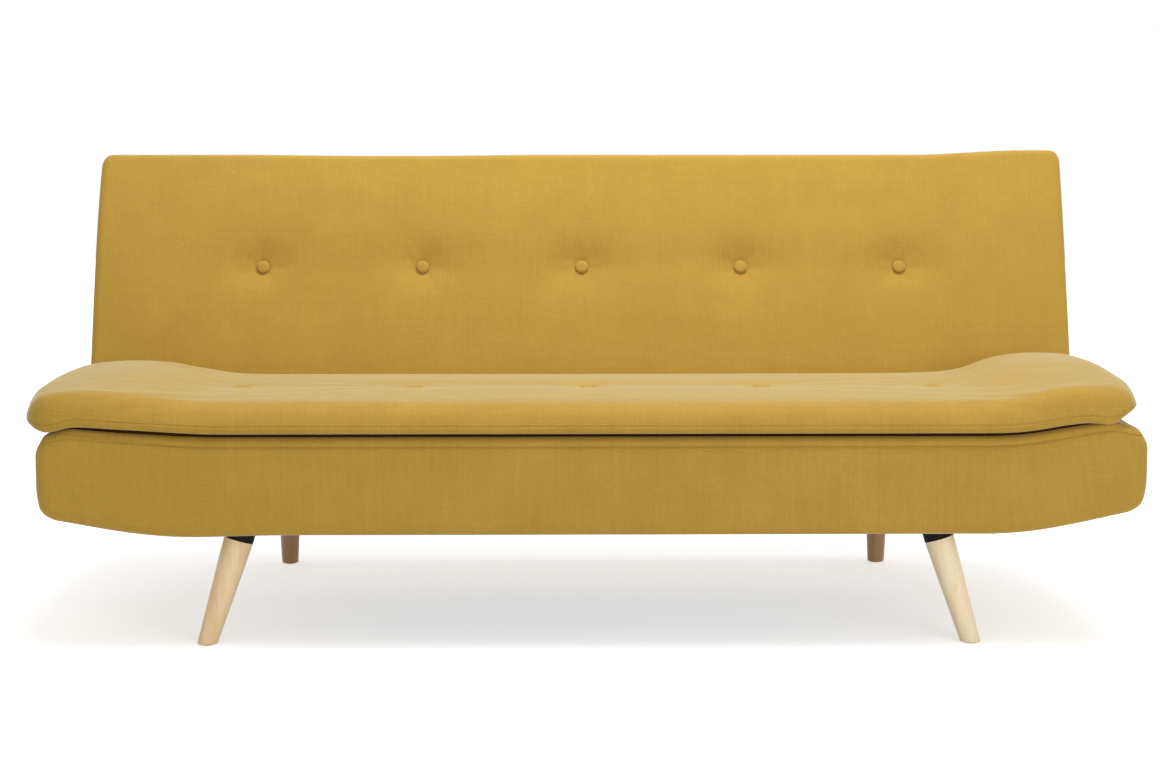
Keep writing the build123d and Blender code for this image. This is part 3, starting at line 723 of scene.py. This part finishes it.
seam_drop, stitch_drop = 0.0195, 0.0038
base = base_form()
skin_over(base, skin_voxel, 3)
seam_height = skin_top - seam_drop
press_groove(base, seam_height, base_groove)
write_points(base.data, settle_base(read_points(base.data)))
keep_cloth_places(base)
base_skin = surface_of(base)
base_rows = new_panels()
row_start, row_distance, row_count = -0.90, 0.35, 293
for way in (-1, 1):
    start = Vector((row_start, seat_middle + way * row_distance, seam_height - stitch_drop))
    stitch_row(base_rows, base_skin, start, row_count, Vector((0, -way, 0)))
finish_stitches(base_rows, "base_seam_stitches", base_reach)

# the cover is turned in underneath and leaves an opening, where the lining lies
opening_reach, hem, turn_in = 0.640, 0.020, 0.010


def in_opening(face):
    centre = face.calc_center_median()
    faces_down = face.normal.z < -0.9 and centre.z < base_bottom + 0.004
    return faces_down and abs(centre.x) < opening_reach and front + hem < centre.y < rear - hem


bm = bmesh.new()
bm.from_mesh(base.data)
under = [face for face in bm.faces if in_opening(face)]
raised = bmesh.ops.extrude_face_region(bm, geom=under)
bmesh.ops.delete(bm, geom=under, context="FACES_ONLY")
bmesh.ops.translate(
    bm, vec=(0, 0, turn_in),
    verts=[v for v in raised["geom"] if isinstance(v, bmesh.types.BMVert)],
)
bm.to_mesh(base.data)
bm.free()
base_panels = cut_panels(base, "base_skin", base_reach)
for panel, nodes in zip(base_panels, (
    ("left_end_cover", "left_end_foam", "left_fold_foam"), ("base_cover", "base_foam"),
    ("right_end_cover", "right_end_foam", "right_fold_foam"),
)):
    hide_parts(*nodes)


# a dark brown sheet between the pad and the base, set back from their edges: painted shade, a
# dark thing put in the slot between them
tape_left, tape_right = -0.869, 0.857
tape_setback, tape_below, tape_above, tape_voxel = 0.013, 0.012, 0.007, 0.006
bm = form_block(
    (tape_left, tape_right), (front + tape_setback, rear - tape_setback),
    (skin_top - tape_below, skin_top + tape_above),
)
shade_tape = new_piece("shade_tape", bm, shade_tape_cloth)
skin_over(shade_tape, tape_voxel, 0)
co = read_points(shade_tape.data)
reach = np.where(co[:, 0] < 0, base_reach["left"], base_reach["right"])
co[:, 2] -= end_sag(co[:, 0], reach, base_edge_sag)
write_points(shade_tape.data, co)
for panel in cut_panels(shade_tape, "pad_shade_tape", base_reach):
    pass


# ---------------------------------------------------------------- seat pad
pad_front, pad_rear = pad_low.y - 0.002, pad_high.y + 0.002
pad_bottom, pad_top = skin_top + 0.0015, seat_height - 0.001
pad_seam_height = 0.0132
pad_stitch_heights = (0.0098, 0.0166)
pad_crown, pad_crown_spread = 0.004, 0.16


def pad_form():
    bm = form_block(
        (-pad_reach["left"], pad_reach["right"]), (pad_front, pad_rear), (pad_bottom, pad_top)
    )
    corner_radius, top_radius, bottom_radius = 0.050, 0.038, 0.010
    top, bottom = pad_top - 1e-4, pad_bottom + 1e-4
    round_edges(bm, lambda e: edge_runs(e, 2), corner_radius, 8)
    round_edges(bm, lambda e: middle(e).z > top and not edge_runs(e, 2), top_radius, 8)
    round_edges(bm, lambda e: middle(e).z < bottom and not edge_runs(e, 2), bottom_radius, 5)
    return new_piece("pad", bm, mustard)


def tie_pad(co):
    """Tied buttons pull the top down, and the pad is crowned, before it is stuffed."""
    button_floor, hollow_depth = 0.0062, 0.0022
    high = smooth_step(0.35, 1.0, (co[:, 2] - pad_bottom) / (pad_top - pad_bottom))
    along = co[:, 1] - front - seat_button_setback
    for x in button_columns:
        co[:, 2] -= high * tuft_drop(co[:, 0] - x, along, button_floor, hollow_depth)
    co[:, 2] += high * pad_crown * bell(along, pad_crown_spread)
    return co


def pad_hold(co):
    """Where the pad is held: on the base, under each button and towards its ends."""
    end_hold = 0.9
    hold = smooth_step(pad_bottom + 0.010, pad_bottom + 0.001, co[:, 2])
    for x in button_columns:
        far = np.hypot(co[:, 0] - x, co[:, 1] - front - seat_button_setback)
        hold = np.maximum(hold, smooth_step(0.030, 0.017, far))
    reach = np.where(co[:, 0] < 0, pad_reach["left"], pad_reach["right"])
    return np.maximum(hold, end_hold * smooth_step(0.20, 0.05, reach - np.abs(co[:, 0])))


def hang_pad(co):
    """The ends puff up behind the fold, thin to a nose and hang over the base's corners."""
    tall = (co[:, 2] - pad_bottom) / (pad_top - pad_bottom)
    low = smooth_step(0.38, 0.0, tall)
    high = smooth_step(0.2, 1.0, tall)
    is_left = co[:, 0] < 0
    reach = np.where(is_left, pad_reach["left"], pad_reach["right"])
    far_out = np.abs(co[:, 0])
    to_end = reach - far_out
    to_front = co[:, 1] - pad_front
    to_rear = pad_rear - co[:, 1]
    # the puff, fullest towards the rear
    left_puff = 0.0105 * bell(far_out - 0.780, 0.095)
    right_puff = 0.020 * bell(far_out - 0.800, 0.118)
    puff = np.where(is_left, left_puff, right_puff)
    co[:, 2] += puff * high * (0.45 + 0.55 * smooth_step(0.05, 0.35, to_front))
    # the nose, thinned from below and hung, most at the front
    nose_lift = np.where(is_left, 0.007, 0.009)
    co[:, 2] += nose_lift * smooth_step(0.055, 0.0, to_end) * (1 - high)
    hang = np.where(is_left, 0.009, 0.007)
    front_share = 0.5 + 0.5 * smooth_step(0.35, 0.05, to_front)
    co[:, 2] -= hang * smooth_step(0.12, 0.0, to_end) * front_share
    # the stuffing's give, of which a quarter is left at the top
    stiff_share, give_inset = 0.75, 0.02
    co[:, 2] -= end_sag(co[:, 0], reach - give_inset, pad_edge_sag) * (1 - stiff_share * high)
    # the corners are drawn in, and so is the underside of the nose
    front_draw, rear_draw = 0.018, 0.010
    drawn = front_draw * smooth_step(0.14, 0.0, to_front)
    drawn = drawn + rear_draw * smooth_step(0.10, 0.0, to_rear)
    co[:, 0] -= np.sign(co[:, 0]) * drawn * smooth_step(0.22, 0.0, to_end)
    undercut = np.where(is_left, 0.004, 0.014)
    co[:, 0] -= np.sign(co[:, 0]) * undercut * low * smooth_step(0.05, 0.0, to_end)
    return co


pad = pad_form()
skin_over(pad, skin_voxel, 2)
tied = tie_pad(read_points(pad.data))
write_points(pad.data, tied)
stuff(pad, pad_hold(tied), cap=0.0035, pressure=1.5, shares=(0.4, 0.7, 0.35))
finer = pad.modifiers.new("finer", "SUBSURF")
finer.levels = finer.render_levels = 1
settle_modifiers(pad)
press_groove(pad, pad_bottom + pad_seam_height, pad_groove)
write_points(pad.data, hang_pad(read_points(pad.data)))
keep_cloth_places(pad)
pad_skin = surface_of(pad)
pad_rows = new_panels()
row_start, row_distance, row_count = -0.93, -0.55, 303
for height in pad_stitch_heights:
    start = Vector((row_start, row_distance, pad_bottom + height))
    stitch_row(pad_rows, pad_skin, start, row_count, Vector((0, 1, 0)))
finish_stitches(pad_rows, "pad_seam_stitches", pad_reach)
pad_panels = cut_panels(pad, "pad_skin", pad_reach)
for panel, nodes in zip(pad_panels, (("left_end_pad",), ("seat_pad",), ("right_end_pad",))):
    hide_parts(*nodes)

seat_button_sink = 0.0042
bm = bmesh.new()
for x in button_columns:
    covered_button(
        bm, Vector((x, front + seat_button_setback, seat_height - seat_button_sink)),
        Vector((0, 0, 1)), Vector((1, 0, 0)),
    )
seat_buttons = new_piece("seat_buttons_covered", bm, mustard)
keep_cloth_places(seat_buttons)
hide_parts("seat_buttons")
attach(seat_buttons, "seat")


# ---------------------------------------------------------------- back cushion
def back_place(x, s, t):
    """World place of a point across the back, up its face from the pivot, and behind it."""
    return back_pivot + Vector((x, 0, 0)) + up_face * s + into_back * (t - pivot_inset)


back_reach = half_width + 0.004
back_shift = -0.0062
skin_rise = 0.005
back_button_sink = 0.0122
# the slots for the hinge brackets: across from the middle, behind the face and up it
slot_near, slot_far, slot_front, slot_top = 0.574, 0.593, 0.0440, 0.035


def back_form():
    bm = form_block(
        (-back_reach, back_reach), (0, back_thickness), (-back_tail, back_top + skin_rise)
    )
    upper_radius, lower_radius, face_radius, rear_radius = 0.018, 0.010, 0.016, 0.010
    behind = back_thickness - 1e-4
    round_edges(bm, lambda e: edge_runs(e, 1) and middle(e).z > 0, upper_radius, 6)
    round_edges(bm, lambda e: edge_runs(e, 1) and middle(e).z < 0, lower_radius, 4)
    round_edges(bm, lambda e: middle(e).y < 1e-4 and not edge_runs(e, 1), face_radius, 5)
    round_edges(bm, lambda e: middle(e).y > behind and not edge_runs(e, 1), rear_radius, 4)
    return new_piece("back", bm, mustard)


def cut_slots(piece):
    """The two slots, open below and behind, that the hinge brackets swing in."""
    overcut = 0.020
    for low, high in ((-slot_far, -slot_near), (slot_near, slot_far)):
        bm = form_block(
            (low - back_shift, high - back_shift), (slot_front, back_thickness + overcut),
            (-back_tail - overcut, slot_top),
        )
        cutter = new_piece("slot_cutter", bm, mustard)
        slot = piece.modifiers.new("slot", "BOOLEAN")
        slot.operation = "DIFFERENCE"
        slot.object = cutter
        settle_modifiers(piece)
        bpy.data.objects.remove(cutter)


def tie_back(co):
    """Tied buttons, the valley between them and the top's ease, before the back is stuffed."""
    valley_depth, valley_spread, button_floor, hollow_depth = 0.0022, 0.035, 0.0140, 0.0115
    top_ease, ease_height = 0.008, 0.20
    x, t, along = co[:, 0], co[:, 1], co[:, 2] - back_button_height
    to_side = half_width - np.abs(x)
    drop = valley_depth * bell(along, valley_spread) * smooth_step(0.0, 0.2, to_side)
    for column in button_columns:
        drop += tuft_drop(x - column, along, button_floor, hollow_depth)
    co[:, 1] += smooth_step(0.045, 0.0, t) * drop
    near_top = np.clip((co[:, 2] - back_top + ease_height) / ease_height, 0, 1)
    co[:, 1] += top_ease * smooth_step(0.10, 0.0, t) * near_top**2
    return co


def back_hold(co):
    """Where the back is held: on its frame, round its edges and under each button."""
    from_side = back_reach - np.abs(co[:, 0])
    edge_in = np.minimum(from_side, np.minimum(back_top - co[:, 2], co[:, 2] + back_tail))
    hold = np.maximum(smooth_step(0.020, 0.050, co[:, 1]), smooth_step(0.045, 0.015, edge_in))
    for column in button_columns:
        far = np.hypot(co[:, 0] - column, co[:, 2] - back_button_height)
        hold = np.maximum(hold, smooth_step(0.034, 0.018, far))
    return hold


def finish_back(co):
    """The left edge leans in, the right corner rises and the top dips left of the middle."""
    left_lean, right_rise, top_dip = 0.005, 0.009, 0.0022
    x, high = co[:, 0], co[:, 2]
    share = (high + back_tail) / (back_top + back_tail)
    co[:, 0] += left_lean * share**4 * smooth_step(-0.8, -0.9, x)
    to_right = smooth_step(0.62, 0.84, x)
    co[:, 2] += right_rise * to_right * smooth_step(back_top - 0.15, back_top, high)
    dip = np.sin(pi * np.clip((x + 0.60) / 0.5, 0, 1))
    co[:, 2] -= top_dip * dip * smooth_step(back_top - 0.10, back_top, high)
    return co


back = back_form()
cut_slots(back)
skin_over(back, skin_voxel, 2)
tied = tie_back(read_points(back.data))
write_points(back.data, tied)
stuff(back, back_hold(tied), cap=0.0055, pressure=2.0, shares=(0.3, 1.0, 0.3))
finer = back.modifiers.new("finer", "SUBSURF")
finer.levels = finer.render_levels = 1
settle_modifiers(back)
flat = finish_back(read_points(back.data))
write_points(back.data, flat)
keep_cloth_places(back)
up, behind = np.array(up_face), np.array(into_back)
placed = np.zeros_like(flat)
placed[:, 0] = flat[:, 0] + back_shift
placed += (
    np.array(back_pivot) + np.outer(flat[:, 2], up) + np.outer(flat[:, 1] - pivot_inset, behind)
)
write_points(back.data, placed)
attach(back, "backrest")
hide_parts("back_cover", "back_foam")

bm = bmesh.new()
for x in button_columns:
    covered_button(
        bm, back_place(x + back_shift, back_button_height, back_button_sink), -into_back,
        Vector((1, 0, 0)),
    )
back_buttons = new_piece("back_buttons_covered", bm, mustard)
keep_cloth_places(back_buttons)
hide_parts("back_buttons")
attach(back_buttons, "backrest")

# ---------------------------------------------------------------- floor, light and camera
bm = bmesh.new()
bmesh.ops.create_grid(bm, x_segments=1, y_segments=1, size=12)
n = Nodes("studio_floor")
seen = n.add("ShaderNodeLightPath")
shine = n.maths("MAXIMUM", seen.outputs["Is Camera Ray"], seen.outputs["Is Glossy Ray"])
place = n.add("ShaderNodeTexCoord").outputs["Object"]
away = n.add("ShaderNodeVectorMath", {0: place}, operation="LENGTH").outputs["Value"]
far = n.add("ShaderNodeMapRange", {
    "Value": away, "From Min": 1.2, "From Max": 4.0, "To Min": 0.55, "To Max": 1.0,
})
n.finish({
    "Base Color": (0.88, 0.88, 0.88, 1), "Roughness": 0.9, "Specular IOR Level": 0.1,
    "Emission Color": (1, 1, 1, 1),
    "Emission Strength": n.maths("MULTIPLY", shine, far.outputs[0]),
})
floor = new_piece("studio_floor", bm, n.material, smooth=False)

world = bpy.data.worlds.new("studio")
bpy.context.scene.world = world
world.use_nodes = True
tree = world.node_tree
sky = tree.nodes["Background"]
sky.inputs["Color"].default_value = (1, 1, 1, 1)
path = tree.nodes.new("ShaderNodeLightPath")
look = tree.nodes.new("ShaderNodeMath")
look.operation = "MAXIMUM"
tree.links.new(path.outputs["Is Camera Ray"], look.inputs[0])
tree.links.new(path.outputs["Is Glossy Ray"], look.inputs[1])
soft_light, seen_white = 0.50, 1.0
level = tree.nodes.new("ShaderNodeMix")
level.data_type = "FLOAT"
level.inputs[2].default_value = soft_light
level.inputs[3].default_value = seen_white
tree.links.new(look.outputs[0], level.inputs[0])
tree.links.new(level.outputs[0], sky.inputs["Strength"])


def soft_lamp(name, place, aim, size, power):
    """A rectangular lamp that faces the point it is aimed at."""
    lamp = bpy.data.lights.new(name, "AREA")
    lamp.shape = "RECTANGLE"
    lamp.size, lamp.size_y = size
    lamp.energy = power
    holder = bpy.data.objects.new(name, lamp)
    bpy.context.scene.collection.objects.link(holder)
    holder.location = place
    holder.rotation_euler = (Vector(aim) - Vector(place)).to_track_quat("-Z", "Y").to_euler()


soft_lamp("overhead_box", (0.40, -0.5, 3.1), (0, 0.05, 0.4), (2.8, 1.4), 61)
soft_lamp("front_fill", (2.2, -4.2, 1.5), (0, 0, 0.4), (2.4, 2.0), 50)
soft_lamp("top_strip", (-0.15, 0.05, 1.5), (-0.1, 0.33, 0.75), (1.9, 0.25), 3.5)

camera_data = bpy.data.cameras.new("camera")
camera_data.lens = 65.88
camera_data.sensor_width = 36
camera = bpy.data.objects.new("camera", camera_data)
bpy.context.scene.collection.objects.link(camera)
camera.location = (-0.062, -3.7524, 0.8093)
camera.rotation_euler = (radians(83.6), 0, radians(-0.765))
bpy.context.scene.camera = camera
bpy.context.scene.view_settings.view_transform = "Standard"
